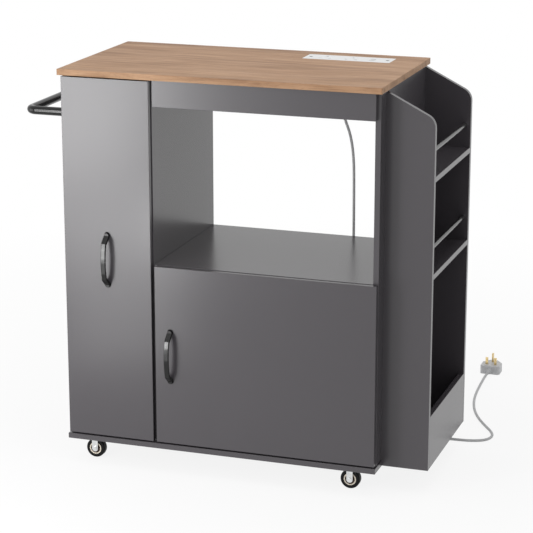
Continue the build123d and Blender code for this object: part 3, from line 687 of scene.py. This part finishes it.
# Plug and strain relief: pale grey mouldings on the two ends of the cord.
# The plug is a three-pin one with sloping shoulders, a ribbed sleeve and brass pins.
plug_plastic = even_finish(
    "plug_moulding",
    (0.56, 0.565, 0.575),
    roughness=0.42,
    grain=0.0008,
    grain_depth=0.00002,
    patch=0.02,
    spread=0.05,
    tone=0.03,
)
brass_finish = metal_finish(
    "pin_brass",
    (0.78, 0.6, 0.3),
    roughness=0.24,
    spread=0.06,
    stretch=(900.0, 900.0, 60.0),
    depth=0.000006,
)
dress(plug_plastic, "plug_body", "plug_sleeve", "cord_strain_relief")
dress(brass_finish, "plug_pins")

# Studio: a white floor that keeps a soft shadow, white surroundings and soft lamps.
# The lamps at the front left are what the satin fronts and the black handles mirror.
floor_radius = 30.0
floor_sides = 96
shadow_near, shadow_far = 0.7, 2.2
glow_near, glow_far = 0.86, 1.0
ambient_level = 0.6
floor_white = (0.9, 0.9, 0.9, 1.0)
pure_white = (1.0, 1.0, 1.0, 1.0)


def seen_directly(tree):
    """1 where the camera sees a surface, also mirrored or through another one, and 0 where it only lights."""
    ray = add_node(tree, "ShaderNodeLightPath").outputs
    seen_or_mirrored = calculate(tree, "MAXIMUM", ray["Is Camera Ray"], ray["Is Glossy Ray"])
    return calculate(tree, "MAXIMUM", seen_or_mirrored, ray["Is Transmission Ray"])


floor_mesh = bmesh.new()
bmesh.ops.create_circle(floor_mesh, cap_ends=True, radius=floor_radius, segments=floor_sides)
floor_data = bpy.data.meshes.new("studio_floor")
floor_mesh.to_mesh(floor_data)
floor_mesh.free()
floor = bpy.data.objects.new("studio_floor", floor_data)
bpy.context.scene.collection.objects.link(floor)
floor_paint = bpy.data.materials.new("studio_floor")
floor_paint.use_nodes = True
floor_tree = floor_paint.node_tree
floor_tree.nodes.clear()
floor_place = add_node(floor_tree, "ShaderNodeTexCoord").outputs["Object"]
away = vector_math(floor_tree, "LENGTH", floor_place)["Value"]
glow = ranged(floor_tree, away, shadow_near, shadow_far, glow_near, glow_far)
glow_share = calculate(floor_tree, "MULTIPLY", glow, seen_directly(floor_tree))
matt = add_node(floor_tree, "ShaderNodeBsdfDiffuse", {"Color": floor_white}).outputs[0]
lit = add_node(floor_tree, "ShaderNodeEmission", {"Color": pure_white, "Strength": 1.0}).outputs[0]
floor_surface = add_node(floor_tree, "ShaderNodeMixShader", {0: glow_share, 1: matt, 2: lit}).outputs[0]
add_node(floor_tree, "ShaderNodeOutputMaterial", {"Surface": floor_surface})
floor_data.materials.append(floor_paint)

surroundings = bpy.data.worlds.new("studio_surroundings")
surroundings.use_nodes = True
bpy.context.scene.world = surroundings
sky = surroundings.node_tree
backdrop = sky.nodes["Background"]
backdrop.inputs["Color"].default_value = pure_white
sky_level = ranged(sky, seen_directly(sky), 0.0, 1.0, lowest=ambient_level, highest=1.0)
sky.links.new(sky_level, backdrop.inputs["Strength"])

for name, place, aim, (width, height), power in (
    ("far_left_softbox", (-1.45, -2.7, 0.36), (-0.3, -0.18, 0.42), (0.6, 0.7), 10.4),
    ("tall_left_softbox", (-1.43, -2.75, 1.0), (-0.3, -0.18, 0.7), (0.2, 0.65), 7.0),
    ("high_left_softbox", (-1.57, -2.6, 1.9), (-0.41, -0.16, 0.8), (0.22, 1.2), 9.5),
    ("near_left_softbox", (-1.0, -1.68, 0.4), (-0.3, -0.18, 0.45), (0.5, 0.76), 4.0),
    ("door_handle_softbox", (-0.411, -0.9625, 0.38), (-0.11, -0.21, 0.275), (0.05, 0.17), 0.42),
    ("low_left_softbox", (-0.5, -0.85, 0.22), (-0.2, -0.18, 0.25), (0.3, 0.4), 0.75),
    ("side_softbox", (-2.3, -1.2, 0.8), (-0.3, -0.1, 0.6), (1.6, 1.6), 15.0),
    ("overhead_softbox", (0.2, -0.4, 2.7), (0.0, 0.0, 0.5), (2.4, 2.0), 18.0),
):
    lamp = bpy.data.lights.new(name, "AREA")
    lamp.shape = "RECTANGLE"
    lamp.size = width
    lamp.size_y = height
    lamp.energy = power
    stand = bpy.data.objects.new(name, lamp)
    stand.location = place
    stand.rotation_mode = "QUATERNION"
    stand.rotation_quaternion = (Vector(aim) - Vector(place)).to_track_quat("-Z", "Y")
    stand.visible_camera = False
    bpy.context.scene.collection.objects.link(stand)

# Camera: a long lens, from the front right of the trolley and a little above it.
# Its angles, distance and lens were fitted to the photograph.
camera_aim = Vector((0.047657, 0.0, 0.446709))
azimuth = math.radians(18.692)
elevation = math.radians(15.389)
distance = 4.456367
to_camera = Vector(
    (
        math.sin(azimuth) * math.cos(elevation),
        -math.cos(azimuth) * math.cos(elevation),
        math.sin(elevation),
    )
)
camera_data = bpy.data.cameras.new("studio_camera")
camera_data.sensor_width = 36.0
camera_data.lens = 134.865
camera = bpy.data.objects.new("studio_camera", camera_data)
camera.location = camera_aim + to_camera * distance
camera.rotation_mode = "QUATERNION"
camera.rotation_quaternion = (-to_camera).to_track_quat("-Z", "Y")
bpy.context.scene.collection.objects.link(camera)
bpy.context.scene.camera = camera
bpy.context.scene.view_settings.view_transform = "Standard"
